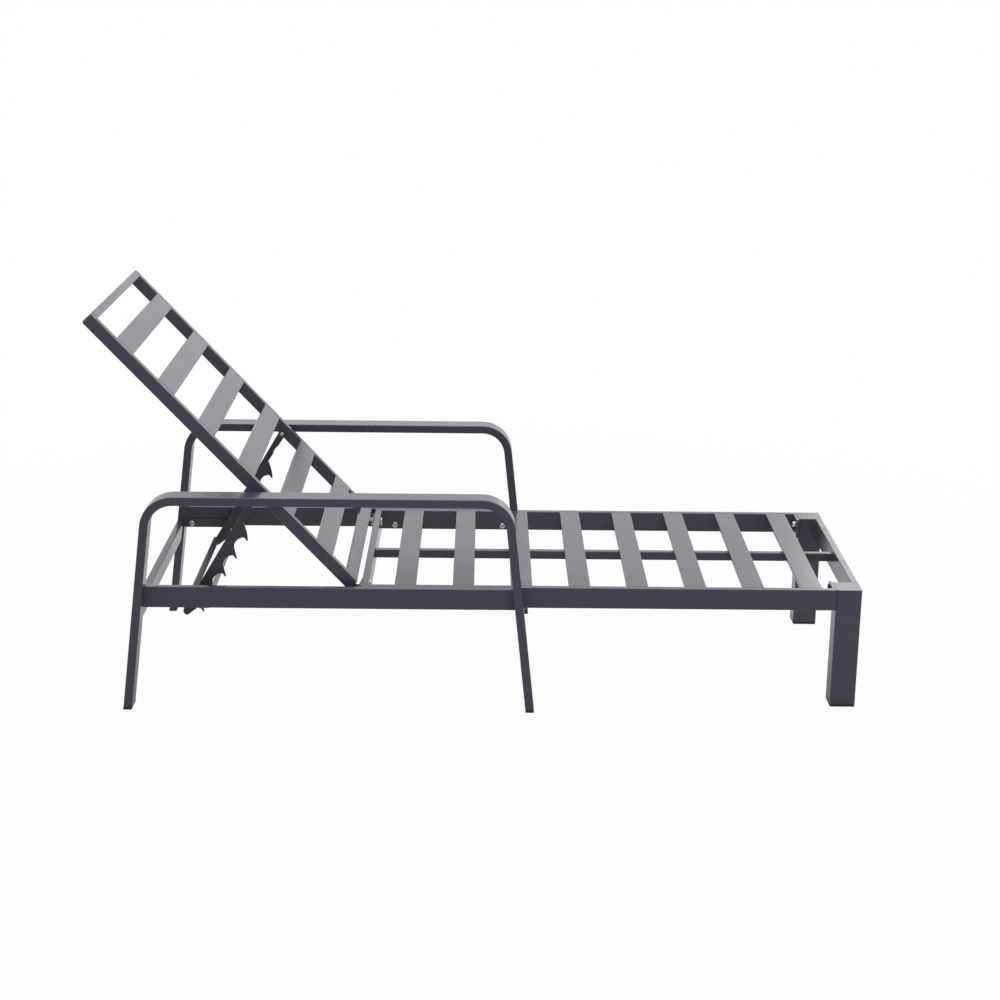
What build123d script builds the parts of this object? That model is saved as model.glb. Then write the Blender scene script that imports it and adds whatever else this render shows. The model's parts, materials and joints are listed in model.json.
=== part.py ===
"""Reclining sun lounger: a tubular frame with two arm loops and a slatted seat, and a slatted
backrest that hinges on the frame and is held up by a notched prop on a rest bar.

X runs from the backrest end to the foot end, Y across and Z up, in millimetres. The ground is
Z = 0 and the lounger is centred on X = 0 and Y = 0. Right is -Y and left is +Y.
"""
from build123d import *
from math import cos, radians, sin, tan
import os

os.makedirs("parts", exist_ok=True)

# Tubes
tube_wall = 1.6
tube_corner = 2.0
rail_height = 49.2
rail_thickness = 16.4
slat_thickness = 9.0
slat_corner = 1.5

# Seat frame
seat_height = 286.0
seat_width = 610.0          # outer face to outer face of the seat rails
seat_reach = 1156.6         # hinge axis to the front faces of the foot legs
foot_leg_side = 58.6
foot_leg_corner = 5.0
seat_slat_count = 8
seat_slat_width = 49.2
seat_slat_first = 113.7     # hinge axis to the middle of the first slat
seat_slat_foot_gap = 114.0  # middle of the last slat to the front faces of the foot legs
spine_width = 17.0
spine_height = 20.5
end_bar_height = 53.0
hinge_bar_gap = 13.5        # hinge axis to the crossbar that carries the hinges

# Arm loops
arm_height = 507.3
arm_width = 51.5
arm_depth = 19.5            # thickness of the loop's tube, seen from the side
arm_bend = 75.6             # outer radius of the two top bends
rear_foot_reach = 529.5     # hinge axis to the rear edge of the rear leg on the ground
front_foot_reach = 410.8    # hinge axis to the front edge of the front leg on the ground
rear_lean = radians(7.05)
front_lean = radians(6.3)
rear_bar_drop = 60.8        # seat height to the middle of the rear crossbar
foot_cap_height = 7.5
foot_plug_length = 20.0

# Backrest
back_angle = radians(46.8)
back_side_gap = 3.6         # each back rail inside the seat rail beside it
back_length = 855.6         # hinge axis to the top end
back_corner = 10.0          # radius of the two top corners, seen from the lying side
back_under_corner = 4.0     # radius of their lower edges, seen from the side
back_rail_width = 18.5
back_rail_depth = 28.2
back_rail_start = 11.7
back_foot_bar_width = 33.0
back_slat_count = 6
back_slat_width = 50.3
back_slat_first = 116.9     # hinge axis to the middle of the lowest slat
back_slat_top_gap = 102.9   # middle of the highest slat to the top end
hinge_drop = 16.2           # hinge axis below the lying surface

# Hinges
hinge_pin_radius = 4.0
hinge_running_gap = 0.08
hinge_eye_radius = 8.5
hinge_tongue_thickness = 6.0
hinge_side_gap = 0.5
hinge_plate_thickness = 3.0
hinge_ear_thickness = 4.0
hinge_plug_length = 28.0
hinge_bracket_length = 55.0
hinge_bracket_above = 6.6   # bracket above its upper bolts
hinge_bracket_below = 8.8   # bracket below its lower bolts
hinge_bolt_radius = 2.5
hinge_bolt_head = 4.8
hinge_bolt_inset = 10.0
hinge_bolt_rise = 5.0       # upper bolt above the hinge axis
hinge_bolt_pitch = 10.5
hinge_nut_height = 4.0
hinge_nut_radius = 4.4
hinge_pin_head = 3.0
hinge_pin_head_radius = 6.0
hinge_clip_thickness = 1.2

# Prop and rest bar
prop_pivot_reach = 313.5    # hinge axis to the prop pivot along the back rails
prop_pivot_drop = 6.5       # prop pivot below the hinge axis, measured square to the backrest
prop_bolt_radius = 2.5
prop_bolt_head = 4.6
prop_sleeve_radius = 3.6
prop_angle = radians(241.0)
prop_thickness = 5.0
prop_rail_gap = 3.0
prop_eye_radius = 9.0
prop_neck_start = (8.0, 7.9)    # outline of the prop: (along, across) from its pivot
prop_neck_end = (80.0, 3.0)
flat_hollow = ((31.0, 6.3), (43.5, 3.0), (56.0, 4.7))   # clears the rest bar when the back is flat
first_hook_back = (99.5, 23.0)
prop_spine_bend = (261.6, -16.2)
prop_heel = (332.2, -19.4)
prop_foot_middle = (341.6, -12.4)
prop_toe = (339.9, -4.4)
prop_last_root = (314.8, 6.0)
prop_hook_count = 5
prop_first_hook = (113.6, 32.6)  # outer corner of the first hook's tip
prop_hook_pitch = (50.2, -2.0)
hook_tip_inner = (1.8, -2.4)    # outline of a hook, from the outer corner of its tip
hook_face = (-1.0, -6.5)
hook_throat = (-2.4, -11.8)
hook_floor = (14.5, -23.0)
hook_next = (31.9, -18.4)
tie_bar_width = 15.0
tie_bar_thickness = 7.0
tie_bar_reach = 328.0       # prop pivot to the middle of the tie bar, along the prop
tie_bar_across = -16.5
rest_bar_radius = 6.4
rest_bar_along = 292.1      # rest bar seen from the prop pivot, along the raised prop
rest_bar_across = 19.3
hanger_thickness = 4.0
hanger_width = 22.0
hanger_foot_corner = 8.8
hanger_prop_gap = 3.5
hanger_shelf_rise = 3.5     # hanger shelf above the lower edge of the arm rail
hanger_strip_height = 21.7
hanger_strip_rise = 18.0    # upper edge of the strip above the lower edge of the arm rail
hanger_bolt_inset = 24.0    # bolt ahead of the rear crossbar
hanger_bolt_rise = 6.6

# Fasteners
bolt_radius = 3.0
bolt_head_radius = 7.3
bolt_head_height = 3.2
bolt_crown_share = 0.75     # rounding of a bolt head, of its height
bolt_socket_share = 0.4     # socket of a bolt head, of its radius
bolt_socket_depth = 0.55    # socket of a bolt head, of its height
rivet_nut_radius = 4.6
rivet_nut_length = 9.0
frame_bolt_reaches = (63.6, 340.4)  # ahead of the hinge axis
frame_bolt_depth = 38.0
corner_block_depth = 8.0
corner_block_width = 52.0
corner_bolt_depth = 19.5    # below the seat
corner_bolt_inset = 22.6    # inside the seat rail
corner_bolt_head = 7.0
corner_bolt_head_height = 6.5
knob_radius = 6.2
knob_height = 5.5
knob_crown = 4.0
knob_inset = 30.6

# Places that follow from the sizes above
seat_half = seat_width / 2
rail_inner = seat_half - rail_thickness
back_half = rail_inner - back_side_gap
back_inner = back_half - back_rail_width
hinge_height = seat_height - hinge_drop
back_under = back_rail_depth - hinge_drop
back_overhang = ((back_length - back_under_corner) * cos(back_angle)
                 + (back_under - back_under_corner) * sin(back_angle) + back_under_corner)
hinge_x = (back_overhang - seat_reach) / 2
foot_end_x = hinge_x + seat_reach
hinge_bar_x = hinge_x + hinge_bar_gap
rear_bar_height = seat_height - rear_bar_drop
hinge_bracket_end = rail_inner - hinge_bracket_length
rear_foot_x = hinge_x - rear_foot_reach
front_foot_x = hinge_x + front_foot_reach
up_back = Vector(-cos(back_angle), 0, sin(back_angle))
off_back = Vector(sin(back_angle), 0, cos(back_angle))
hinge_point = Vector(hinge_x, 0, hinge_height)
across_lounger = Vector(0, 1, 0)


def back_point(reach, offset, y=0.0):
    """Point on the raised backrest: reach up along the rails, offset out of the lying side."""
    return hinge_point + up_back * reach + off_back * offset + Vector(0, y, 0)


def export(solid, name):
    """Label a finished piece and write it as its own file."""
    solid.label = name
    export_step(solid, f"parts/{name}.step")


def export_pair(right_solid, name):
    """Write a right-hand piece and its mirror image on the left."""
    export(right_solid, f"right_{name}")
    export(mirror(right_solid, about=Plane.XZ), f"left_{name}")


def export_both(right_solid, name):
    """Write a right-hand piece and its mirror image as one group of separate solids."""
    left_solid = mirror(right_solid, about=Plane.XZ)
    export(Compound(children=[*right_solid.solids(), *left_solid.solids()]), name)


def tube(plane, width, height, length, corner=tube_corner, end_wall=0.0):
    """Rectangular tube that grows from a plane, open at its start; end_wall closes its far end."""
    with BuildPart() as made:
        with BuildSketch(plane):
            RectangleRounded(width, height, corner)
        extrude(amount=length)
        with BuildSketch(plane):
            Rectangle(width - 2 * tube_wall, height - 2 * tube_wall)
        extrude(amount=length - end_wall, mode=Mode.SUBTRACT)
    return made.part


def cross_tube(middle, width, height, half_length, upward, corner=tube_corner):
    """Rectangular tube across the lounger, with its width measured along the direction upward."""
    start = Plane(middle - across_lounger * half_length, x_dir=upward, z_dir=(0, 1, 0))
    return tube(start, width, height, 2 * half_length, corner)


def pin(centre, direction, radius, length):
    """Round pin that starts at a point."""
    with BuildPart() as made:
        with BuildSketch(Plane(centre, z_dir=direction)):
            Circle(radius)
        extrude(amount=length)
    return made.part


def button_bolt(under_head, direction, length, radius=bolt_radius, head=bolt_head_radius,
                head_height=bolt_head_height):
    """Round-headed screw with a hexagon socket; direction points from the head down the shank."""
    head_top = Plane(under_head - Vector(direction) * head_height, z_dir=direction)
    with BuildPart() as made:
        with BuildSketch(Plane(under_head, z_dir=direction)):
            Circle(radius)
        extrude(amount=length)
        with BuildSketch(head_top):
            Circle(head)
        extrude(amount=head_height)
        crown = made.faces().sort_by(Axis(under_head, direction))[0]
        fillet(crown.edges(), head_height * bolt_crown_share)
        with BuildSketch(head_top):
            RegularPolygon(head * bolt_socket_share, 6)
        extrude(amount=head_height * bolt_socket_depth, mode=Mode.SUBTRACT)
    return made.part


def corner_cut(corner, radius, width):
    """What a rounding takes off a square corner: the plane's X and -Y run along the two faces."""
    with BuildPart() as made:
        with BuildSketch(corner):
            with Locations((radius / 2, -radius / 2)):
                Rectangle(radius, radius)
            with Locations((radius, -radius)):
                Circle(radius, mode=Mode.SUBTRACT)
        extrude(amount=width / 2, both=True)
    return made.part


def ring(centre, direction, outer, inner, length):
    """Round ring, washer or sleeve that grows from a point."""
    with BuildPart() as made:
        with BuildSketch(Plane(centre, z_dir=direction)):
            Circle(outer)
            Circle(inner, mode=Mode.SUBTRACT)
        extrude(amount=length)
    return made.part


def drilled(solid, *holes):
    """A piece with round holes cut by (centre, direction, radius, length) pins."""
    with BuildPart() as made:
        add(solid)
        for centre, direction, radius, length in holes:
            with BuildSketch(Plane(centre, z_dir=direction)):
                Circle(radius)
            extrude(amount=length, mode=Mode.SUBTRACT)
    return made.part


# Arm loops: one bent tube each, with the legs leaning in towards the armrest.
def loop_corners(inset, foot):
    """Corners of the loop's side view moved inwards by inset, with its legs cut at height foot."""
    top = arm_height - inset
    rear_x = rear_foot_x + inset / cos(rear_lean)
    front_x = front_foot_x - inset / cos(front_lean)
    return [(rear_x + foot * tan(rear_lean), foot), (rear_x + top * tan(rear_lean), top),
            (front_x - top * tan(front_lean), top), (front_x - foot * tan(front_lean), foot)]


arm_middle = Plane.XZ.offset(seat_half + arm_width / 2)
with BuildPart() as arm_loop:
    with BuildLine(arm_middle) as loop_route:
        FilletPolyline(*loop_corners(arm_depth / 2, -arm_depth), radius=arm_bend - arm_depth / 2)
    with BuildSketch(Plane(loop_route.line @ 0, x_dir=(0, 1, 0), z_dir=loop_route.line % 0)):
        RectangleRounded(arm_width, arm_depth, tube_corner)
        Rectangle(arm_width - 2 * tube_wall, arm_depth - 2 * tube_wall, mode=Mode.SUBTRACT)
    sweep(path=loop_route.line)
    split(bisect_by=Plane.XY.offset(foot_cap_height), keep=Keep.TOP)
export_pair(arm_loop.part, "arm_loop")

# Foot caps of the arm loops: a sole under each leg with a plug up inside the tube.
arm_foot_parts = []
for edge_x, lean, inward in ((rear_foot_x, rear_lean, 1), (front_foot_x, front_lean, -1)):
    lean_shift = inward * tan(lean)
    leg_span = inward * arm_depth / cos(lean)
    plug_inset = inward * tube_wall / cos(lean)
    plug_top = foot_cap_height + foot_plug_length
    with BuildPart() as foot_cap:
        with BuildSketch(Plane.XZ.offset(seat_half)):
            Polygon((edge_x, 0), (edge_x + leg_span, 0),
                    (edge_x + leg_span + lean_shift * foot_cap_height, foot_cap_height),
                    (edge_x + lean_shift * foot_cap_height, foot_cap_height), align=None)
        extrude(amount=arm_width)
        fillet(foot_cap.faces().sort_by(Axis.Z)[0].edges(), tube_corner)
        with BuildSketch(Plane.XZ.offset(seat_half + tube_wall)):
            Polygon((edge_x + plug_inset + lean_shift * foot_cap_height, foot_cap_height),
                    (edge_x + leg_span - plug_inset + lean_shift * foot_cap_height, foot_cap_height),
                    (edge_x + leg_span - plug_inset + lean_shift * plug_top, plug_top),
                    (edge_x + plug_inset + lean_shift * plug_top, plug_top), align=None)
        extrude(amount=arm_width - 2 * tube_wall)
    arm_foot_parts.append(foot_cap.part)
export_both(Compound(children=arm_foot_parts), "arm_foot_caps")

# Arm rails: level tubes welded between the legs of each loop, against its inner side.
rear_leg_face = Plane((rear_foot_x + arm_depth / cos(rear_lean), 0, 0),
                      z_dir=(cos(rear_lean), 0, -sin(rear_lean)))
front_leg_face = Plane((front_foot_x - arm_depth / cos(front_lean), 0, 0),
                       z_dir=(-cos(front_lean), 0, -sin(front_lean)))
rail_level = seat_height - rail_height / 2
arm_rail_middle = -(seat_half + rail_thickness / 2)
with BuildPart() as arm_rail:
    add(tube(Plane((rear_foot_x, arm_rail_middle, rail_level), x_dir=(0, 1, 0), z_dir=(1, 0, 0)),
             rail_thickness, rail_height, front_foot_x - rear_foot_x))
    split(bisect_by=rear_leg_face, keep=Keep.TOP)
    split(bisect_by=front_leg_face, keep=Keep.TOP)

# Bolts that clamp the seat rails to the arm rails, threaded into sleeves inside the arm rails.
frame_bolt_centres = [Vector(hinge_x + reach, -rail_inner, seat_height - frame_bolt_depth)
                      for reach in frame_bolt_reaches]
outward = (0, -1, 0)
rivet_hole = rail_thickness + tube_wall
frame_bolt_holes = [(centre, outward, rivet_nut_radius, rivet_hole) for centre in frame_bolt_centres]

# Rear crossbar between the rear legs, leaning with them.
rear_bar_x = rear_foot_x + rear_bar_height * tan(rear_lean) + rail_thickness / 2 / cos(rear_lean)
along_rear_leg = Vector(sin(rear_lean), 0, cos(rear_lean))
rear_bar_middle = Vector(rear_bar_x, 0, rear_bar_height)
rear_crossbar = cross_tube(rear_bar_middle, rail_height, rail_thickness, seat_half, along_rear_leg)
export(rear_crossbar, "rear_crossbar")

# Bolt that clamps each hanger's strip to its arm rail.
rail_under = seat_height - rail_height
rear_bar_front = Plane(rear_bar_middle + Vector(cos(rear_lean), 0, -sin(rear_lean)) * rail_thickness / 2,
                       z_dir=(cos(rear_lean), 0, -sin(rear_lean)))
rear_bar_front_x = rear_bar_x + rail_thickness / 2 / cos(rear_lean)
hanger_face_y = seat_half - hanger_thickness
hanger_bolt = Vector(rear_bar_front_x + hanger_bolt_inset, -hanger_face_y, rail_under + hanger_bolt_rise)

hanger_rail_hole = (hanger_bolt, outward, rivet_nut_radius, hanger_thickness + tube_wall)
rail_holes = [(centre + Vector(0, -rail_thickness, 0), outward, rivet_nut_radius, tube_wall)
              for centre in frame_bolt_centres]
export_pair(drilled(arm_rail.part, hanger_rail_hole, *rail_holes), "arm_rail")

frame_bolts = [button_bolt(centre, outward, rail_thickness + rivet_nut_length)
               for centre in frame_bolt_centres]
frame_bolts.append(button_bolt(hanger_bolt, outward, hanger_thickness + rivet_nut_length))
export_both(Compound(children=frame_bolts), "frame_bolts")
nut_places = [centre + Vector(0, -rail_thickness, 0) for centre in frame_bolt_centres]
nut_places.append(hanger_bolt + Vector(0, -hanger_thickness, 0))
rivet_nuts = [ring(place, outward, rivet_nut_radius, bolt_radius, rivet_nut_length) for place in nut_places]
export_both(Compound(children=rivet_nuts), "rivet_nuts")

# Seat frame
leg_back_x = foot_end_x - foot_leg_side
leg_inner = seat_half - foot_leg_side
seat_rail_middle = -(seat_half - rail_thickness / 2)
seat_rail_start = Plane((hinge_bar_x, seat_rail_middle, rail_level), x_dir=(0, 1, 0), z_dir=(1, 0, 0))
seat_rail = tube(seat_rail_start, rail_thickness, rail_height, leg_back_x - hinge_bar_x)
seat_rail_holes = [(centre, outward, bolt_radius, rail_thickness) for centre in frame_bolt_centres]
export_pair(drilled(seat_rail, *seat_rail_holes), "seat_rail")

hinge_bar_middle = Vector(hinge_bar_x + rail_thickness / 2, 0, rail_level)
hinge_bolt_top = hinge_height + hinge_bolt_rise
hinge_bolt_centres = [Vector(hinge_bar_x + rail_thickness, -(hinge_bracket_end + hinge_bolt_inset), height)
                      for height in (hinge_bolt_top, hinge_bolt_top - hinge_bolt_pitch)]
rearward = (-1, 0, 0)
hinge_crossbar = cross_tube(hinge_bar_middle, rail_thickness, rail_height, rail_inner, Vector(1, 0, 0))
hinge_bolt_holes = [(centre, rearward, hinge_bolt_radius, rail_thickness + hinge_plate_thickness)
                    for centre in hinge_bolt_centres]
mirrored_holes = [(Vector(centre.X, -centre.Y, centre.Z), way, radius, depth)
                  for centre, way, radius, depth in hinge_bolt_holes]
export(drilled(hinge_crossbar, *hinge_bolt_holes, *mirrored_holes), "seat_hinge_crossbar")

foot_leg_plane = Plane((foot_end_x - foot_leg_side / 2, -(seat_half - foot_leg_side / 2), foot_cap_height))
foot_leg_cavity = foot_leg_side - 2 * tube_wall
foot_leg_cavity_corner = foot_leg_corner - tube_wall
corner_middle_y = rail_inner - corner_block_width / 2
corner_face_x = leg_back_x - corner_block_depth
corner_bolt = Vector(corner_face_x, corner_bolt_inset - rail_inner, seat_height - corner_bolt_depth)
footward = (1, 0, 0)
leg_bolt_hole = (Vector(leg_back_x, corner_bolt.Y, corner_bolt.Z), footward, bolt_radius, tube_wall)
with BuildPart() as foot_leg:
    with BuildSketch(foot_leg_plane):
        RectangleRounded(foot_leg_side, foot_leg_side, foot_leg_corner)
    extrude(amount=seat_height - foot_cap_height)
    fillet(foot_leg.faces().sort_by(Axis.Z)[-1].edges(), tube_corner / 2)
    with BuildSketch(foot_leg_plane):
        RectangleRounded(foot_leg_cavity, foot_leg_cavity, foot_leg_cavity_corner)
    extrude(amount=seat_height - foot_cap_height - tube_wall, mode=Mode.SUBTRACT)
export_pair(drilled(foot_leg.part, leg_bolt_hole), "foot_leg")

with BuildPart() as leg_foot_cap:
    with BuildSketch(foot_leg_plane):
        RectangleRounded(foot_leg_side, foot_leg_side, foot_leg_corner)
    extrude(amount=-foot_cap_height)
    fillet(leg_foot_cap.faces().sort_by(Axis.Z)[0].edges(), tube_corner)
    with BuildSketch(foot_leg_plane):
        RectangleRounded(foot_leg_cavity, foot_leg_cavity, foot_leg_cavity_corner)
    extrude(amount=foot_plug_length)
export_both(leg_foot_cap.part, "leg_foot_caps")

end_bar_middle = Vector(foot_end_x - rail_thickness / 2, 0, seat_height - end_bar_height / 2)
end_crossbar = cross_tube(end_bar_middle, rail_thickness, end_bar_height, leg_inner, Vector(1, 0, 0))
export(end_crossbar, "foot_end_crossbar")

seat_slat_pitch = (seat_reach - seat_slat_foot_gap - seat_slat_first) / (seat_slat_count - 1)
slat_level = seat_height - slat_thickness / 2
for number in range(seat_slat_count):
    slat_middle = Vector(hinge_x + seat_slat_first + number * seat_slat_pitch, 0, slat_level)
    seat_slat = cross_tube(slat_middle, seat_slat_width, slat_thickness, rail_inner, Vector(1, 0, 0),
                           slat_corner)
    export(seat_slat, f"seat_slat_{number + 1}")

spine_start = Vector(hinge_bar_x + rail_thickness, 0, seat_height - slat_thickness - spine_height / 2)
spine_length = foot_end_x - rail_thickness - spine_start.X
spine_plane = Plane(spine_start, x_dir=(0, 1, 0), z_dir=(1, 0, 0))
seat_spine = tube(spine_plane, spine_width, spine_height, spine_length)
export(seat_spine, "seat_spine")

# Corner blocks behind the foot legs, each clamped to its leg by a bolt; the right one has a knob too.
with BuildPart() as corner_block:
    with BuildSketch(Plane((leg_back_x, -corner_middle_y, rail_level), x_dir=(0, 1, 0), z_dir=rearward)):
        Rectangle(corner_block_width, rail_height)
    extrude(amount=corner_block_depth)
    inboard = corner_block.edges().filter_by(Axis.X).group_by(Axis.Y)[-1]
    fillet(inboard, corner_block_depth / 2)
    fillet(corner_block.faces().sort_by(Axis.X)[0].edges(), tube_corner / 2)
block_hole = (corner_bolt, footward, bolt_radius, corner_block_depth)
export_both(drilled(corner_block.part, block_hole), "corner_blocks")
corner_bolt_length = corner_block_depth + rivet_nut_length
corner_bolt_solid = button_bolt(corner_bolt, footward, corner_bolt_length, bolt_radius,
                                corner_bolt_head, corner_bolt_head_height)
export_both(corner_bolt_solid, "corner_bolts")

knob_centre = Vector(corner_face_x, knob_inset - rail_inner, seat_height - knob_radius)
with BuildPart() as corner_knob:
    with BuildSketch(Plane(knob_centre, z_dir=rearward)):
        Circle(knob_radius)
    extrude(amount=knob_height)
    fillet(corner_knob.faces().sort_by(Axis.X)[0].edges(), knob_crown)
export(corner_knob.part, "right_corner_knob")

# Hinges: a bracket with two ears on each side of the crossbar, around the tongue of the back rail.
tongue_middle = -(back_half - back_rail_width / 2)
tongue_side = hinge_tongue_thickness / 2
ear_inner_start = tongue_middle + tongue_side + hinge_side_gap
ear_outer_start = tongue_middle - tongue_side - hinge_side_gap
ear_reach = hinge_eye_radius + hinge_side_gap
bracket_end_y = ear_outer_start - hinge_ear_thickness
ear_web = hinge_bar_gap - hinge_plate_thickness
bracket_top = hinge_bolt_top + hinge_bracket_above
bracket_foot = hinge_bolt_top - hinge_bolt_pitch - hinge_bracket_below
bracket_width = -hinge_bracket_end - bracket_end_y
bracket_centre = Vector(hinge_bar_x, bracket_end_y + bracket_width / 2, (bracket_top + bracket_foot) / 2)
with BuildPart() as hinge_bracket:
    with BuildSketch(Plane(bracket_centre, x_dir=(0, 1, 0), z_dir=rearward)):
        RectangleRounded(bracket_width, bracket_top - bracket_foot, tube_corner)
    extrude(amount=hinge_plate_thickness)
    for ear_start, way in ((ear_inner_start, (0, 1, 0)), (ear_outer_start, (0, -1, 0))):
        with BuildSketch(Plane((hinge_x, ear_start, hinge_height), x_dir=(1, 0, 0), z_dir=way)):
            Circle(ear_reach)
            with Locations((ear_web / 2, 0)):
                Rectangle(ear_web, 2 * ear_reach)
        extrude(amount=hinge_ear_thickness)
    with BuildSketch(Plane((hinge_x, bracket_end_y, hinge_height), z_dir=(0, 1, 0))):
        Circle(hinge_pin_radius)
    extrude(amount=ear_inner_start + hinge_ear_thickness - bracket_end_y, mode=Mode.SUBTRACT)
export_both(drilled(hinge_bracket.part, *hinge_bolt_holes), "hinge_brackets")

hinge_bolt_length = rail_thickness + hinge_plate_thickness + hinge_nut_height
hinge_bolts = [button_bolt(centre, rearward, hinge_bolt_length, hinge_bolt_radius, hinge_bolt_head)
               for centre in hinge_bolt_centres]
export_both(Compound(children=hinge_bolts), "hinge_bolts")
hinge_nuts = []
for centre in hinge_bolt_centres:
    nut_start = centre + Vector(-(rail_thickness + hinge_plate_thickness), 0, 0)
    with BuildPart() as hinge_nut:
        with BuildSketch(Plane(nut_start, x_dir=(0, 1, 0), z_dir=rearward)):
            RegularPolygon(hinge_nut_radius, 6)
            Circle(hinge_bolt_radius, mode=Mode.SUBTRACT)
        extrude(amount=hinge_nut_height)
    hinge_nuts.append(hinge_nut.part)
export_both(Compound(children=hinge_nuts), "hinge_nuts")

inward = (0, 1, 0)
pin_head_start = Vector(hinge_x, bracket_end_y, hinge_height)
pin_span = ear_inner_start + hinge_ear_thickness - bracket_end_y
with BuildPart() as hinge_pin:
    with BuildSketch(Plane(pin_head_start, z_dir=inward)):
        Circle(hinge_pin_radius)
    extrude(amount=pin_span + hinge_clip_thickness * 2)
    with BuildSketch(Plane(pin_head_start, z_dir=inward)):
        Circle(hinge_pin_head_radius)
    extrude(amount=-hinge_pin_head)
    fillet(hinge_pin.faces().sort_by(Axis.Y)[0].edges(), hinge_pin_head / 2)
export_both(hinge_pin.part, "hinge_pins")
clip_start = pin_head_start + across_lounger * pin_span
hinge_clip = ring(clip_start, inward, hinge_pin_head_radius, hinge_pin_radius, hinge_clip_thickness)
export_both(hinge_clip, "hinge_pin_clips")

# Backrest
back_level = hinge_drop - back_rail_depth / 2
back_rail_plane = Plane(back_point(back_rail_start, back_level, tongue_middle), x_dir=(0, 1, 0),
                        z_dir=up_back)
top_corner = Plane(back_point(back_length, back_level, -back_half), x_dir=(0, 1, 0), z_dir=off_back)
under_corner = Plane(back_point(back_length, -back_under, tongue_middle), x_dir=off_back,
                     z_dir=(0, -1, 0))
with BuildPart() as back_rail:
    add(tube(back_rail_plane, back_rail_width, back_rail_depth, back_length - back_rail_start,
             end_wall=back_corner + tube_wall))
    add(corner_cut(top_corner, back_corner, back_rail_depth), mode=Mode.SUBTRACT)
    add(corner_cut(under_corner, back_under_corner, back_rail_width), mode=Mode.SUBTRACT)
prop_pivot = back_point(prop_pivot_reach, -prop_pivot_drop, -back_inner)
back_rail_hole = (prop_pivot, outward, prop_sleeve_radius, tube_wall)
export_pair(drilled(back_rail.part, back_rail_hole), "back_rail")

top_bar_middle = back_point(back_length - back_rail_width / 2, back_level)
back_top_bar = cross_tube(top_bar_middle, back_rail_width, back_rail_depth, back_inner, up_back)
export(back_top_bar, "back_top_crossbar")
back_slat_level = hinge_drop - slat_thickness / 2
foot_bar_middle = back_point(back_rail_start + back_foot_bar_width / 2, back_slat_level)
back_foot_bar = cross_tube(foot_bar_middle, back_foot_bar_width, slat_thickness, back_inner, up_back,
                           slat_corner)
export(back_foot_bar, "back_foot_crossbar")

back_slat_pitch = (back_length - back_slat_top_gap - back_slat_first) / (back_slat_count - 1)
for number in range(back_slat_count):
    slat_middle = back_point(back_slat_first + number * back_slat_pitch, back_slat_level)
    back_slat = cross_tube(slat_middle, back_slat_width, slat_thickness, back_inner, up_back, slat_corner)
    export(back_slat, f"back_slat_{number + 1}")

# Hinge ends: a plug inside the lower end of each back rail with a tongue on the hinge pin.
plug_width = back_rail_width - 2 * tube_wall
plug_depth = back_rail_depth - 2 * tube_wall
with BuildPart() as hinge_end:
    with BuildSketch(back_rail_plane):
        Rectangle(plug_width, plug_depth)
    extrude(amount=hinge_plug_length)
    tongue_plane = Plane(back_point(0, 0, tongue_middle - tongue_side), x_dir=up_back, z_dir=(0, 1, 0))
    with BuildSketch(tongue_plane):
        Circle(hinge_eye_radius)
        with Locations((back_rail_start / 2, 0)):
            Rectangle(back_rail_start, 2 * hinge_eye_radius)
    extrude(amount=hinge_tongue_thickness)
    with BuildSketch(tongue_plane):
        Circle(hinge_pin_radius + hinge_running_gap)
    extrude(amount=hinge_tongue_thickness, mode=Mode.SUBTRACT)
export_both(hinge_end.part, "back_hinge_ends")

# Prop: two notched bars on pivot bolts inside the back rails, joined by a tie bar near their ends.
down_prop = Vector(cos(prop_angle), 0, sin(prop_angle))
hook_side = Vector(-sin(prop_angle), 0, cos(prop_angle))
prop_outer_y = back_inner - prop_rail_gap
prop_inner_y = prop_outer_y - prop_thickness
prop_origin = prop_pivot + across_lounger * (prop_rail_gap + prop_thickness)
prop_plane = Plane(prop_origin, x_dir=down_prop, z_dir=outward)


def hook_place(number, offset):
    """Place on the outline of one hook: offset from the outer corner of its tip."""
    return (prop_first_hook[0] + number * prop_hook_pitch[0] + offset[0],
            prop_first_hook[1] + number * prop_hook_pitch[1] + offset[1])


with BuildPart() as notched_bar:
    with BuildSketch(prop_plane):
        with BuildLine():
            Polyline((0, -prop_eye_radius), prop_spine_bend, prop_heel)
            ThreePointArc(prop_heel, prop_foot_middle, prop_toe)
            Line(prop_toe, prop_last_root)
            Line(prop_last_root, hook_place(prop_hook_count - 1, hook_throat))
            for number in reversed(range(prop_hook_count)):
                throat = hook_place(number, hook_throat)
                inner_tip = hook_place(number, hook_tip_inner)
                outer_tip = hook_place(number, (0, 0))
                ThreePointArc(throat, hook_place(number, hook_face), inner_tip)
                Line(inner_tip, outer_tip)
                if number > 0:
                    notch_end = hook_place(number - 1, hook_next)
                    Line(outer_tip, notch_end)
                    ThreePointArc(notch_end, hook_place(number - 1, hook_floor),
                                  hook_place(number - 1, hook_throat))
            ThreePointArc(prop_first_hook, first_hook_back, prop_neck_end)
            Line(prop_neck_end, flat_hollow[2])
            ThreePointArc(*reversed(flat_hollow))
            Polyline(flat_hollow[0], prop_neck_start, (0, prop_eye_radius))
            ThreePointArc((0, prop_eye_radius), (-prop_eye_radius, 0), (0, -prop_eye_radius))
        make_face()
    extrude(amount=prop_thickness)
    with BuildSketch(prop_plane):
        Circle(prop_bolt_radius + hinge_running_gap)
    extrude(amount=prop_thickness, mode=Mode.SUBTRACT)
export_pair(notched_bar.part, "notched_bar")

tie_middle = prop_pivot + down_prop * tie_bar_reach + hook_side * tie_bar_across
tie_start = Plane((tie_middle.X, -prop_inner_y, tie_middle.Z), x_dir=hook_side, z_dir=inward)
export(tube(tie_start, tie_bar_width, tie_bar_thickness, 2 * prop_inner_y, slat_corner), "prop_tie_bar")

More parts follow.
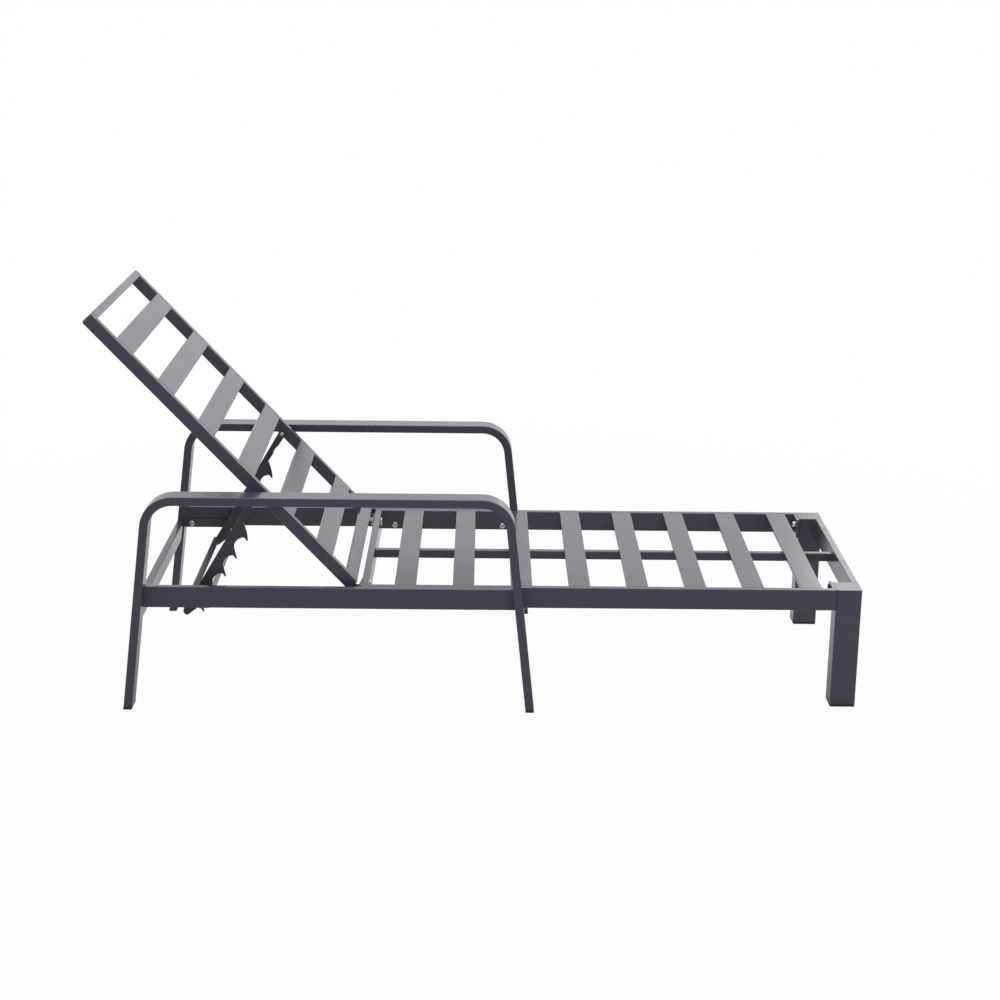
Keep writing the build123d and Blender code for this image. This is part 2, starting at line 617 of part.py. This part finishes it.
spacer = ring(prop_pivot, inward, prop_eye_radius, prop_bolt_radius, prop_rail_gap - hinge_side_gap)
export_both(spacer, "prop_spacers")
pivot_bolt_head = prop_origin + across_lounger * hinge_side_gap
pivot_bolt_length = prop_rail_gap + prop_thickness + hinge_side_gap + rivet_nut_length
pivot_bolt = button_bolt(pivot_bolt_head, outward, pivot_bolt_length, prop_bolt_radius, prop_bolt_head)
export_both(pivot_bolt, "prop_pivot_bolts")
prop_sleeve = ring(prop_pivot, outward, prop_sleeve_radius, prop_bolt_radius, rivet_nut_length)
export_both(prop_sleeve, "prop_pivot_sleeves")

# Rest bar: a round bar that the hooks catch, on two bent hangers bolted along the arm rails.
rest_bar_place = prop_pivot + down_prop * rest_bar_along + hook_side * rest_bar_across
drop_inner = prop_outer_y + hanger_prop_gap
drop_outer = drop_inner + hanger_thickness
rest_bar_start = Vector(rest_bar_place.X, -drop_outer, rest_bar_place.Z)
export(pin(rest_bar_start, inward, rest_bar_radius, 2 * drop_outer), "rest_bar")

hanger_shelf = rail_under + hanger_shelf_rise
shelf_top = hanger_shelf + hanger_thickness
strip_top = rail_under + hanger_strip_rise
strip_foot = strip_top - hanger_strip_height
hanger_front_x = rest_bar_place.X + hanger_width / 2
hanger_foot = rest_bar_place.Z - hanger_width / 2
with BuildPart() as hanger:
    with BuildSketch(Plane.XZ.offset(hanger_face_y)):
        with BuildLine():
            Polyline((rear_foot_x, strip_foot), (hanger_front_x, strip_foot), (hanger_front_x, strip_top),
                     (rear_foot_x, strip_top), close=True)
        make_face()
    extrude(amount=hanger_thickness)
    split(bisect_by=rear_bar_front, keep=Keep.TOP)
    with BuildSketch(Plane((hanger_front_x - hanger_width, 0, 0), x_dir=(0, 1, 0), z_dir=footward)):
        with BuildLine():
            Polyline((-hanger_face_y, hanger_shelf), (-drop_outer, hanger_shelf),
                     (-drop_outer, hanger_foot), (-drop_inner, hanger_foot), (-drop_inner, shelf_top),
                     (-hanger_face_y, shelf_top), close=True)
        make_face()
    extrude(amount=hanger_width)
    foot_edges = hanger.edges().filter_by(Axis.Y).group_by(Axis.Z)[0]
    fillet(foot_edges, hanger_foot_corner)
    with BuildSketch(Plane(rest_bar_start, z_dir=inward)):
        Circle(rest_bar_radius)
    extrude(amount=hanger_thickness, mode=Mode.SUBTRACT)
hanger_hole = (hanger_bolt, outward, bolt_radius, hanger_thickness)
export_pair(drilled(hanger.part, hanger_hole), "rest_bar_hanger")
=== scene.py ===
# %% [markdown]
# # A reclining sun lounger in Blender
#
# The lounger is a welded frame of rectangular aluminium tube with a charcoal powder coat. The
# construction comes from a CAD model, loaded here as a fixed frame: its tubes, slats, bolts and
# hinges already have their real size and place. What is left to Blender is what the eye needs:
# the finish of every surface, the weld beads that a CAD model leaves out, the light and the camera.

# %% Load the frame
import json
from math import cos, radians, sin

import bpy
from mathutils import Matrix, Vector


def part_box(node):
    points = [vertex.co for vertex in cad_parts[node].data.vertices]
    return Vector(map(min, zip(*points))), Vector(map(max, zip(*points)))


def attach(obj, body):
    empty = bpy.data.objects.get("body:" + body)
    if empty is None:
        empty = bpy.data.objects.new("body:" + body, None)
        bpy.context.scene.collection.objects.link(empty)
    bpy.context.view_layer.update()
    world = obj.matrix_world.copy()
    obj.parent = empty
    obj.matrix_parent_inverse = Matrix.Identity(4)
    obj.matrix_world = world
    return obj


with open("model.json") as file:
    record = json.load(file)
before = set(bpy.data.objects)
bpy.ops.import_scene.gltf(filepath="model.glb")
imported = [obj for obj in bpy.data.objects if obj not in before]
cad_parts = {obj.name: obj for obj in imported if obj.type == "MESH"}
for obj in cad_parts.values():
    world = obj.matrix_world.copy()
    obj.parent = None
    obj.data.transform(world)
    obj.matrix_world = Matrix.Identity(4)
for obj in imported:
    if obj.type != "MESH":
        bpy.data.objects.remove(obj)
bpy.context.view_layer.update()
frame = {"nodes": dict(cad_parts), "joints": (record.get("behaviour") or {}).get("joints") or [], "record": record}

# %% [markdown]
# ## Colours and nodes
#
# Colours are written as the hex values that a paint chart or a screen shows. Blender's shaders
# work with linear light, so one function turns the one into the other. Every material below is a
# node tree, and a second function adds one node to it: first the node's own settings, then what
# goes into its sockets, which is either a value or another node's output.

# %% Helpers for colours and nodes
MM = 0.001


def linear(hex_colour):
    """An sRGB hex colour as linear RGBA."""
    channels = [int(hex_colour[i:i + 2], 16) / 255 for i in (1, 3, 5)]
    return tuple(c / 12.92 if c <= 0.04045 else ((c + 0.055) / 1.055) ** 2.4 for c in channels) + (1.0,)


def add_node(tree, kind, settings=None, inputs=None):
    """Add a node of a kind to a tree, with its settings and with values or links for its sockets."""
    node = tree.nodes.new(kind)
    for name, value in (settings or {}).items():
        setattr(node, name, value)
    for name, value in (inputs or {}).items():
        if isinstance(value, bpy.types.NodeSocket):
            tree.links.new(value, node.inputs[name])
        else:
            node.inputs[name].default_value = value
    return node


print("charcoal in linear light:", [round(c, 3) for c in linear("#3B3C48")])

# %% [markdown]
# ## The patterns that every finish needs
#
# Each finish below is made of the same few patterns: noise of a certain size, a noise value spread
# over another range, two colours mixed by it, and small bumps. At a scale of 1, noise has features
# about a metre across, so a pattern of a known size gets the scale 1 / size, and the sizes of all
# patterns can be written in millimetres. Object coordinates tie the pattern to the piece, so it
# moves along when the backrest tilts.

# %% Pattern helpers
MIX_SHARE, MIX_FIRST, MIX_SECOND, MIX_COLOUR = 0, 6, 7, 2


def noise(tree, place, size, sockets=None):
    """A noise pattern with features of about the given size."""
    inputs = {"Vector": place, "Scale": 1 / size, **(sockets or {})}
    return add_node(tree, "ShaderNodeTexNoise", inputs=inputs).outputs[0]


def spread(tree, value, given, wanted, interpolation="LINEAR"):
    """Map a value from a given range to a wanted one."""
    return add_node(tree, "ShaderNodeMapRange", {"interpolation_type": interpolation},
                    {"Value": value, "From Min": given[0], "From Max": given[1],
                     "To Min": wanted[0], "To Max": wanted[1]}).outputs[0]


def blend(tree, share, first, second):
    """Mix two colours, each a hex value or another node's output."""
    first, second = (linear(one) if isinstance(one, str) else one for one in (first, second))
    mix = add_node(tree, "ShaderNodeMix", {"data_type": "RGBA"},
                   {MIX_SHARE: share, MIX_FIRST: first, MIX_SECOND: second})
    return mix.outputs[MIX_COLOUR]


def combine(tree, operation, first, second):
    """Combine two numbers, such as their product or the larger one."""
    return add_node(tree, "ShaderNodeMath", {"operation": operation}, {0: first, 1: second}).outputs[0]


print("a 3 mm pattern has scale", round(1 / (3 * MM), 1))

# %% A material with its shader
def new_material(name):
    """A material with a Principled shader wired to its output, and the place on the piece."""
    material = bpy.data.materials.new(name)
    material.use_nodes = True
    tree = material.node_tree
    tree.nodes.clear()
    shader = add_node(tree, "ShaderNodeBsdfPrincipled")
    add_node(tree, "ShaderNodeOutputMaterial", inputs={"Surface": shader.outputs[0]})
    place = add_node(tree, "ShaderNodeTexCoord").outputs["Object"]
    return material, tree, shader, place


def dress(tree, shader, colour, roughness, bumps, depth):
    """Wire a colour, a roughness and bumps of a certain depth to the shader."""
    bumped = add_node(tree, "ShaderNodeBump", inputs={"Height": bumps, "Distance": depth})
    tree.links.new(colour, shader.inputs["Base Color"])
    tree.links.new(roughness, shader.inputs["Roughness"])
    tree.links.new(bumped.outputs[0], shader.inputs["Normal"])


print("every finish sets a colour, a roughness and bumps")

# %% [markdown]
# ## Powder coat on aluminium tube
#
# Powder coat is a polymer powder that is sprayed on and baked. It flows as it melts, but not
# quite flat: a slight orange peel of bumps a millimetre or so across stays in it, which breaks up
# reflections into a soft satin sheen. The film is thinner on sharp edges, and rubs off there
# first. The edges are drawn a touch lighter in places, which is partly that wear and partly a
# painted highlight on their rounding. Real orange peel is finer than this view can show, so it is
# drawn about 3 mm across here. The edges could be painted by hand, but a Bevel node finds them by
# itself: where its rounded normal differs from the flat one, there is an edge.

# %% Edges, worn and with painted highlight
EDGE_BAND = 1.6 * MM
EDGE_SAMPLES = 4
EDGE_PATCH_SIZE = 9.0 * MM
ON_EDGE = (0.97, 0.75)
EDGE_PATCH_RANGE = (0.45, 0.7)
WEAR_AND_HIGHLIGHT_SHARE = (0.15, 0.6)


def edge_wear_and_highlight(tree, place):
    """How far the coat is lightened at a point, as wear and as painted highlight: nothing on a flat face, and
    uneven on the edges.
    """
    rounded = add_node(tree, "ShaderNodeBevel", {"samples": EDGE_SAMPLES}, {"Radius": EDGE_BAND})
    flat = add_node(tree, "ShaderNodeNewGeometry")
    sameness = add_node(tree, "ShaderNodeVectorMath", {"operation": "DOT_PRODUCT"},
                        {0: rounded.outputs[0], 1: flat.outputs["Normal"]})
    edge = spread(tree, sameness.outputs["Value"], ON_EDGE, (0.0, 1.0))
    edge_patches = spread(tree, noise(tree, place, EDGE_PATCH_SIZE, {"Detail": 2.0}), EDGE_PATCH_RANGE, WEAR_AND_HIGHLIGHT_SHARE)
    return combine(tree, "MULTIPLY", edge, edge_patches)


print("edges are rubbed over a band of", EDGE_BAND / MM, "mm")

# %% Powder coat
BLOTCH = 140.0 * MM
ORANGE_PEEL = 3.0 * MM
PEEL_DEPTH = 0.018 * MM
COAT_ROUGHNESS = 0.24
SMOOTHER, ROUGHER = 0.04, 0.05
MID_BLOTCH = (0.3, 0.7)
POLYMER_IOR = 1.5


def powder_coat(name, dark, light, rubbed_and_highlit, roughness=COAT_ROUGHNESS, peel_depth=PEEL_DEPTH):
    """Satin powder coat: two close tones in soft blotches, edges lightened as wear and painted highlight, orange
    peel.
    """
    material, tree, shader, place = new_material(name)
    blotches = noise(tree, place, BLOTCH, {"Detail": 3.0, "Roughness": 0.55})
    tone = blend(tree, blotches, dark, light)
    # the edges are lightened towards the third colour, partly as wear and partly as painted highlight
    tone_worn_and_highlit = blend(tree, edge_wear_and_highlight(tree, place), tone, rubbed_and_highlit)
    sheen = spread(tree, blotches, MID_BLOTCH, (roughness - SMOOTHER, roughness + ROUGHER))
    peel = noise(tree, place, ORANGE_PEEL, {"Detail": 1.5, "Roughness": 0.4})
    dress(tree, shader, tone_worn_and_highlit, sheen, peel, peel_depth)
    shader.inputs["IOR"].default_value = POLYMER_IOR
    return material


# the third colour lightens the edges, partly as wear and partly as painted highlight
charcoal_coat = powder_coat("charcoal_powder_coat", "#3B3C48", "#41424E", "#686974")
print("made", charcoal_coat.name)

# %% [markdown]
# ## Painted steel and the rest bar
#
# The notched bars of the prop, its spacers, the hinge brackets and the hinge ends are steel with a
# satin paint, darker than the powder coat and a little duller. The round rest bar that the prop
# stands on is a lighter grey. Both are films of paint on metal, so the powder coat's recipe makes
# them too, with other colours and a slightly smoother skin.

# %% Painted steel and the rest bar
PAINT_DEPTH = 0.015 * MM
PAINT_ROUGHNESS = 0.34
BAR_ROUGHNESS = 0.4

# the third colours lighten the edges, partly as wear and partly as painted highlight
dark_paint = powder_coat("dark_satin_paint", "#32323A", "#3A3A43", "#55555E", PAINT_ROUGHNESS, PAINT_DEPTH)
bar_coat = powder_coat("light_grey_coat", "#86878C", "#909196", "#A9AAAE", BAR_ROUGHNESS, PAINT_DEPTH)
print("made", dark_paint.name, "and", bar_coat.name)

# %% [markdown]
# ## Moulded plastic
#
# The foot caps and the corner knob are injection-moulded polypropylene. The mould is spark-eroded,
# which leaves an even matt grain on the plastic, and a little dust greys the black. A fine noise
# gives the grain both its bumps and its uneven gloss.

# %% Moulded plastic
GRAIN = 1.6 * MM
GRAIN_DEPTH = 0.06 * MM
DUST = 30.0 * MM
PLASTIC_ROUGHNESS = (0.48, 0.62)
POLYPROPYLENE_IOR = 1.49


def moulded_plastic(name, colour, dusty):
    """Injection-moulded polypropylene with the grain of a spark-eroded mould."""
    material, tree, shader, place = new_material(name)
    grain = noise(tree, place, GRAIN, {"Detail": 4.0, "Roughness": 0.65})
    tone = blend(tree, noise(tree, place, DUST), colour, dusty)
    dress(tree, shader, tone, spread(tree, grain, (0.0, 1.0), PLASTIC_ROUGHNESS), grain, GRAIN_DEPTH)
    shader.inputs["IOR"].default_value = POLYPROPYLENE_IOR
    return material


black_plastic = moulded_plastic("moulded_polypropylene", "#1C1C1E", "#2A2A2C")
print("made", black_plastic.name)

# %% [markdown]
# ## Zinc plate
#
# Bolts, nuts, pins and sleeves are turned steel with a bright zinc plate: a metal with fine turning
# marks and a slightly cloudy tone. The socket in a bolt's head gets painted shade: an Ambient
# Occlusion node measures how open each point is within a few millimetres, and the colour turns
# near black where it is shut, so the same material is bright on a head and dark in its socket.

# %% Zinc plate
TURNING = 0.9 * MM
TURNING_DEPTH = 0.01 * MM
CLOUD = 6.0 * MM
ZINC_ROUGHNESS = (0.2, 0.38)
SOCKET_REACH = 3.0 * MM
SOCKET_SAMPLES = 8
SHUT_TO_OPEN = (0.45, 0.8)


def zinc_plate(name, dull, bright, socket_shade):
    """Bright zinc over turned steel: fine marks, slightly uneven tone, and painted shade in the sockets."""
    material, tree, shader, place = new_material(name)
    marks = noise(tree, place, TURNING, {"Detail": 2.0})
    tone = blend(tree, noise(tree, place, CLOUD), dull, bright)
    openness = add_node(tree, "ShaderNodeAmbientOcclusion", {"samples": SOCKET_SAMPLES, "only_local": True},
                        {"Distance": SOCKET_REACH})
    # painted shade: the colour turns near black where the socket is shut off within a few millimetres
    unshaded_share = spread(tree, openness.outputs["AO"], SHUT_TO_OPEN, (0.0, 1.0))
    tone_with_socket_shade = blend(tree, unshaded_share, socket_shade, tone)
    dress(tree, shader, tone_with_socket_shade, spread(tree, marks, (0.0, 1.0), ZINC_ROUGHNESS), marks, TURNING_DEPTH)
    shader.inputs["Metallic"].default_value = 1.0
    return material


# the last colour is the painted shade in the bolt sockets
bright_zinc = zinc_plate("bright_zinc_plate", "#CACBCE", "#E4E5E6", "#1B1B1D")
print("made", bright_zinc.name)

# %% [markdown]
# ## Give each piece its finish
#
# The record says which finish each CAD piece has, by the name of a material slot. One table maps
# those names to the materials above, and a loop assigns them.

# %% Assign finishes
FINISHES = {"charcoal_frame": charcoal_coat, "black_hardware": dark_paint, "bright_steel": bright_zinc,
            "rest_bar_metal": bar_coat, "black_plastic": black_plastic}
slot_of = {entry["node"]: entry["material_slot"] for entry in frame["record"]["subparts"]}
for name, node in frame["nodes"].items():
    node.material_slots[0].material = FINISHES[slot_of[name]]
print("finishes given to", len(slot_of), "pieces")

# %% [markdown]
# ## Weld beads
#
# The tubes are joined by TIG welds on the sides that don't show from above. A weld bead is a row
# of overlapping drops, each left by one dip of the filler rod, so a geometry node tree makes it:
# the weld lines are plain edges, resampled at the spacing of the drops, and each point gets a
# flattened drop with a slightly random size. The tree has its sizes as inputs and a fixed seed.

# %% Weld bead node tree
DROP_SUBDIVISIONS = 2
DROP_FLATNESS = 0.9
DROP_LENGTHS = (0.86, 1.1)
DROP_SEED = 7


def weld_tree():
    """Geometry node tree that turns edges into rows of weld drops."""
    tree = bpy.data.node_groups.new("weld_bead", "GeometryNodeTree")
    for name, kind in (("Geometry", "Geometry"), ("Drop pitch", "Float"), ("Drop radius", "Float"),
                       ("Coat", "Material")):
        tree.interface.new_socket(name, in_out="INPUT", socket_type="NodeSocket" + kind)
    tree.interface.new_socket("Geometry", in_out="OUTPUT", socket_type="NodeSocketGeometry")
    given = add_node(tree, "NodeGroupInput")
    curve = add_node(tree, "GeometryNodeMeshToCurve", inputs={"Mesh": given.outputs["Geometry"]})
    points = add_node(tree, "GeometryNodeResampleCurve", {"mode": "LENGTH"},
                      {"Curve": curve.outputs[0], "Length": given.outputs["Drop pitch"]})
    drop = add_node(tree, "GeometryNodeMeshIcoSphere",
                    inputs={"Radius": given.outputs["Drop radius"], "Subdivisions": DROP_SUBDIVISIONS})
    along = add_node(tree, "GeometryNodeInputTangent")
    turn = add_node(tree, "FunctionNodeAlignRotationToVector", {"axis": "X"}, {"Vector": along.outputs[0]})
    length = add_node(tree, "FunctionNodeRandomValue", {"data_type": "FLOAT"},
                      {"Min": DROP_LENGTHS[0], "Max": DROP_LENGTHS[1], "Seed": DROP_SEED})
    shape = add_node(tree, "ShaderNodeCombineXYZ",
                     inputs={"X": length.outputs[1], "Y": DROP_FLATNESS, "Z": DROP_FLATNESS})
    drops = add_node(tree, "GeometryNodeInstanceOnPoints",
                     inputs={"Points": points.outputs[0], "Instance": drop.outputs[0],
                             "Rotation": turn.outputs[0], "Scale": shape.outputs[0]})
    real = add_node(tree, "GeometryNodeRealizeInstances", inputs={"Geometry": drops.outputs[0]})
    smooth = add_node(tree, "GeometryNodeSetShadeSmooth", inputs={"Geometry": real.outputs[0]})
    coated = add_node(tree, "GeometryNodeSetMaterial",
                      inputs={"Geometry": smooth.outputs[0], "Material": given.outputs["Coat"]})
    add_node(tree, "NodeGroupOutput", inputs={"Geometry": coated.outputs[0]})
    return tree


weld_nodes = weld_tree()
print("weld tree inputs:", [item.name for item in weld_nodes.interface.items_tree])

# %% [markdown]
# ## Where the welds run
#
# A slat is welded along its underside, where it meets the inner face of a rail. On the level seat
# those lines run along X. On the backrest they run up the rails, so that direction comes from the
# joint: the backrest's hinge turns by its whole range to lie flat, and that range is its angle.
# Two crossbars are welded down an upright side: the hinge crossbar at its foot side, and the foot
# end crossbar at its head side.

# %% Directions of the backrest
hinge = next(joint for joint in frame["joints"] if joint["name"] == "backrest_hinge")
back_angle = radians(-hinge["range_deg"][0])
up_back = Vector((-cos(back_angle), 0, sin(back_angle)))
off_back = Vector((sin(back_angle), 0, cos(back_angle)))
print("backrest angle:", round(-hinge["range_deg"][0], 1), "degrees")

# %% Sizes of the slats
def corners(name):
    """Lowest and highest corner of a node's box."""
    return (Vector(point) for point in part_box(name))


seat_low, seat_high = corners("seat_slat_1")
seat_slat_width = seat_high.x - seat_low.x
slat_thickness = seat_high.z - seat_low.z
back_low, back_high = corners("back_slat_1")
back_slat_width = ((back_high.x - back_low.x) - slat_thickness * sin(back_angle)) / cos(back_angle)
print("slat widths:", round(seat_slat_width / MM, 1), "and", round(back_slat_width / MM, 1), "mm")

# %% Weld lines
SLAT_WELD_SHARE = 0.84
POST_WELD_FOOT = 3.0 * MM
POST_WELD_HEAD = 4.0 * MM


def slat_welds(name, along, normal, width):
    """The two underside weld lines of one slat, at its ends."""
    low, high = corners(name)
    half = along * width * SLAT_WELD_SHARE / 2
    under = (low + high) / 2 - normal * slat_thickness / 2
    ends = [Vector((under.x, y, under.z)) for y in (low.y, high.y)]
    return [(end - half, end + half) for end in ends]


def post_welds(name, foot_side):
    """Upright weld lines at both ends of a crossbar, down the side to the foot or to the head."""
    low, high = corners(name)
    x = high.x if foot_side else low.x
    return [(Vector((x, y, low.z + POST_WELD_FOOT)), Vector((x, y, high.z - POST_WELD_HEAD)))
            for y in (low.y, high.y)]


frame_welds, back_welds = [], []
for name in sorted(frame["nodes"]):
    if name.startswith("seat_slat"):
        frame_welds += slat_welds(name, Vector((1, 0, 0)), Vector((0, 0, 1)), seat_slat_width)
    if name.startswith("back_slat"):
        back_welds += slat_welds(name, up_back, off_back, back_slat_width)
frame_welds += post_welds("seat_hinge_crossbar", foot_side=True)
frame_welds += post_welds("foot_end_crossbar", foot_side=False)
print("weld lines on the frame:", len(frame_welds), "and on the backrest:", len(back_welds))

# %% [markdown]
# ## Lay the beads
#
# The weld lines of one body become one mesh of loose edges, which carries the node tree as a
# modifier. The result is turned into a plain mesh and the carrier is deleted, so what rides on the
# frame or on the backrest is a mesh like any other.

# %% Lay the weld beads
DROP_PITCH = 2.4 * MM
DROP_RADIUS = 2.3 * MM


def set_input(modifier, name, value):
    """Set an input of a modifier's node tree, found by its name."""
    socket = next(item for item in modifier.node_group.interface.items_tree
                  if item.name == name and item.in_out == "INPUT")
    modifier[socket.identifier] = value


def weld_piece(name, lines, body):
    """Turn weld lines into one mesh of drops that rides on a body."""
    mesh = bpy.data.meshes.new(name + "_lines")
    points = [tuple(point) for line in lines for point in line]
    mesh.from_pydata(points, [(i, i + 1) for i in range(0, len(points), 2)], [])
    carrier = bpy.data.objects.new(name + "_carrier", mesh)
    bpy.context.collection.objects.link(carrier)
    modifier = carrier.modifiers.new("welds", "NODES")
    modifier.node_group = weld_nodes
    set_input(modifier, "Drop pitch", DROP_PITCH)
    set_input(modifier, "Drop radius", DROP_RADIUS)
    set_input(modifier, "Coat", charcoal_coat)
    evaluated = carrier.evaluated_get(bpy.context.evaluated_depsgraph_get())
    beads = bpy.data.objects.new(name, bpy.data.meshes.new_from_object(evaluated))
    bpy.context.collection.objects.link(beads)
    bpy.data.objects.remove(carrier)
    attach(beads, body)
    print(name, "has", len(beads.data.polygons), "faces")


weld_piece("frame_weld_beads", frame_welds, "frame")
weld_piece("backrest_weld_beads", back_welds, "backrest")

# %% [markdown]
# ## The white of the studio
#
# The lounger stands in a white studio. Its lamps stay at a plain level, and the white comes from
# the surroundings themselves: to the camera and to reflections the floor and the world are white,
# while for diffuse light the floor is matt paint and the world a soft grey. The satin coat
# reflects that white at a grazing angle, which is why the level slats look much lighter than the
# upright sides.
#
# A real studio is darker behind the camera, on the side of -Y. Glossy pieces show that: an upright
# side that faces the camera mirrors the dark half, and stays a deep charcoal. So in reflections
# the white fades to a share of itself from the back of the studio to its front. On the floor that
# fade reaches in under the lounger, which puts a painted shadow into what the floor reflects there.
# The camera itself always sees full white.

# %% What the rays see
WHITE = linear("#FFFFFF")
FRONT_SHARE = 0.35
MIX_NUMBER_FIRST, MIX_NUMBER_SECOND = 2, 3


def seen_rays(tree):
    """Two sockets: 1 for every ray that shows what it meets, and 1 for the camera's rays alone."""
    rays = add_node(tree, "ShaderNodeLightPath").outputs
    seen = combine(tree, "MAXIMUM", rays["Is Camera Ray"], rays["Is Glossy Ray"])
    return combine(tree, "MAXIMUM", seen, rays["Is Transmission Ray"]), rays["Is Camera Ray"]


def white_strength(tree, place, front_to_back, camera_ray):
    """Strength of the white: 1 to the camera, and in reflections a share of it at the front."""
    depth = add_node(tree, "ShaderNodeSeparateXYZ", inputs={0: place}).outputs["Y"]
    mirrored = spread(tree, depth, front_to_back, (FRONT_SHARE, 1.0), "SMOOTHSTEP")
    strength = add_node(tree, "ShaderNodeMix", {"data_type": "FLOAT"},
                        {MIX_SHARE: camera_ray, MIX_NUMBER_FIRST: mirrored, MIX_NUMBER_SECOND: 1.0})
    return strength.outputs[0]


print("white is", WHITE[:3], "and the front of the studio is mirrored at", FRONT_SHARE)

# %% [markdown]
# ## Floor
#
# The floor is a wide plane just under the feet. Around the lounger its matt paint shows through the
# white by a few percent, which keeps a faint shadow. Further out that share fades to nothing, so
# the floor's far edge can't be told from the white behind it.

# %% Floor
FLOOR_SIZE = 60.0
FLOOR_DROP = 0.5 * MM
SHADOW_REACH = (1.0, 2.6)
GLOW_SHARE = (0.93, 1.0)
# this range also darkens the floor's reflected white under the lounger, as a painted shadow in reflections
FLOOR_FRONT_TO_BACK = (-0.6, 1.0)


def studio_white():
    """White to the camera and to reflections, and matt paint to diffuse light."""
    material = bpy.data.materials.new("studio_white")
    material.use_nodes = True
    tree = material.node_tree
    tree.nodes.clear()
    place = add_node(tree, "ShaderNodeTexCoord").outputs["Object"]
    reach = add_node(tree, "ShaderNodeVectorMath", {"operation": "LENGTH"}, {0: place})
    glow_share = spread(tree, reach.outputs["Value"], SHADOW_REACH, GLOW_SHARE, "SMOOTHSTEP")
    seen, camera_ray = seen_rays(tree)
    strength = white_strength(tree, place, FLOOR_FRONT_TO_BACK, camera_ray)
    matt = add_node(tree, "ShaderNodeBsdfDiffuse", inputs={"Color": linear("#F6F6F6")})
    glow = add_node(tree, "ShaderNodeEmission", inputs={"Color": WHITE, "Strength": strength})
    mixed = add_node(tree, "ShaderNodeMixShader",
                     inputs={0: combine(tree, "MULTIPLY", seen, glow_share), 1: matt.outputs[0],
                             2: glow.outputs[0]})
    add_node(tree, "ShaderNodeOutputMaterial", inputs={"Surface": mixed.outputs[0]})
    return material


bpy.ops.mesh.primitive_plane_add(size=FLOOR_SIZE, location=(0, 0, -FLOOR_DROP))
floor = bpy.context.object
floor.name = "studio_floor"
floor.data.materials.append(studio_white())
print("floor:", floor.name)

# %% [markdown]
# ## World
#
# The world follows the same plan. Its Generated coordinate is the direction of a ray, so the Y of
# that direction tells the front of the studio from the back.

# %% World
SOFT_LEVEL = 0.5
SKY_FRONT_TO_BACK = (-0.6, 0.2)

world = bpy.data.worlds.new("studio_world")
bpy.context.scene.world = world
world.use_nodes = True
sky = world.node_tree
sky.nodes.clear()
seen, camera_ray = seen_rays(sky)
direction = add_node(sky, "ShaderNodeTexCoord").outputs["Generated"]
strength = white_strength(sky, direction, SKY_FRONT_TO_BACK, camera_ray)
soft = add_node(sky, "ShaderNodeBackground", inputs={"Color": linear("#F4F6FA"), "Strength": SOFT_LEVEL})
bright = add_node(sky, "ShaderNodeBackground", inputs={"Color": WHITE, "Strength": strength})
both = add_node(sky, "ShaderNodeMixShader", inputs={0: seen, 1: soft.outputs[0], 2: bright.outputs[0]})
add_node(sky, "ShaderNodeOutputWorld", inputs={"Surface": both.outputs[0]})
print("world:", world.name)

# %% [markdown]
# ## Lamps
#
# Four soft boxes light the lounger. A wide one hangs overhead, and a strong one stands behind the
# camera and lights the upright sides that face it. Two weak ones stand behind the lounger: a very
# wide one, slightly violet, whose sheen lies along the level tops, and a smaller one behind the
# foot end, which lifts the tops of the foot corner.

# %% Lamps
def soft_box(name, place, target, width, depth, watts, colour="#FFFFFF"):
    """A rectangular soft box that looks at a target."""
    lamp = bpy.data.lights.new(name, "AREA")
    lamp.shape = "RECTANGLE"
    lamp.size = width
    lamp.size_y = depth
    lamp.energy = watts
    lamp.color = linear(colour)[:3]
    box = bpy.data.objects.new(name, lamp)
    box.location = place
    box.rotation_euler = (Vector(target) - Vector(place)).to_track_quat("-Z", "Y").to_euler()
    bpy.context.collection.objects.link(box)


soft_box("overhead_box", (0.0, 0.5, 3.0), (0, 0, 0.2), width=3.2, depth=0.9, watts=60)
soft_box("front_box", (0.6, -4.6, 2.4), (0, 0, 0.3), width=2.6, depth=1.6, watts=50)
soft_box("back_box", (0.8, 4.6, 1.8), (0.2, 0, 0.3), width=6.0, depth=1.6, watts=9, colour="#F6EEFF")
soft_box("corner_box", (2.7, 4.4, 2.0), (0.8, 0, 0.3), width=2.2, depth=1.8, watts=22)

# %% [markdown]
# ## Camera
#
# The camera stands a little over four metres off the lounger's right side, at about the eye height
# of a standing person, and looks down at it with a moderately long lens. Its axes are built from a
# heading, a downward tilt and a slight roll.

# %% Camera
CAMERA_PLACE = Vector((0.0039, -4.4055, 1.7154))
HEADING = radians(0.58)
TILT = radians(-16.59)
ROLL = radians(0.69)
LENS_MM = 68.66
SENSOR_MM = 36.0

forward = Vector((sin(HEADING) * cos(TILT), cos(HEADING) * cos(TILT), sin(TILT)))
level_right = Vector((cos(HEADING), -sin(HEADING), 0))
level_up = level_right.cross(forward)
right = level_right * cos(ROLL) + level_up * sin(ROLL)
up = level_up * cos(ROLL) - level_right * sin(ROLL)
lens = bpy.data.cameras.new("studio_camera")
lens.lens = LENS_MM
lens.sensor_width = SENSOR_MM
camera = bpy.data.objects.new("studio_camera", lens)
axes = Matrix((right, up, -forward)).transposed().to_4x4()
camera.matrix_world = Matrix.Translation(CAMERA_PLACE) @ axes
bpy.context.collection.objects.link(camera)
bpy.context.scene.camera = camera
bpy.context.scene.view_settings.view_transform = "Standard"
print("camera at", tuple(round(v, 2) for v in CAMERA_PLACE))
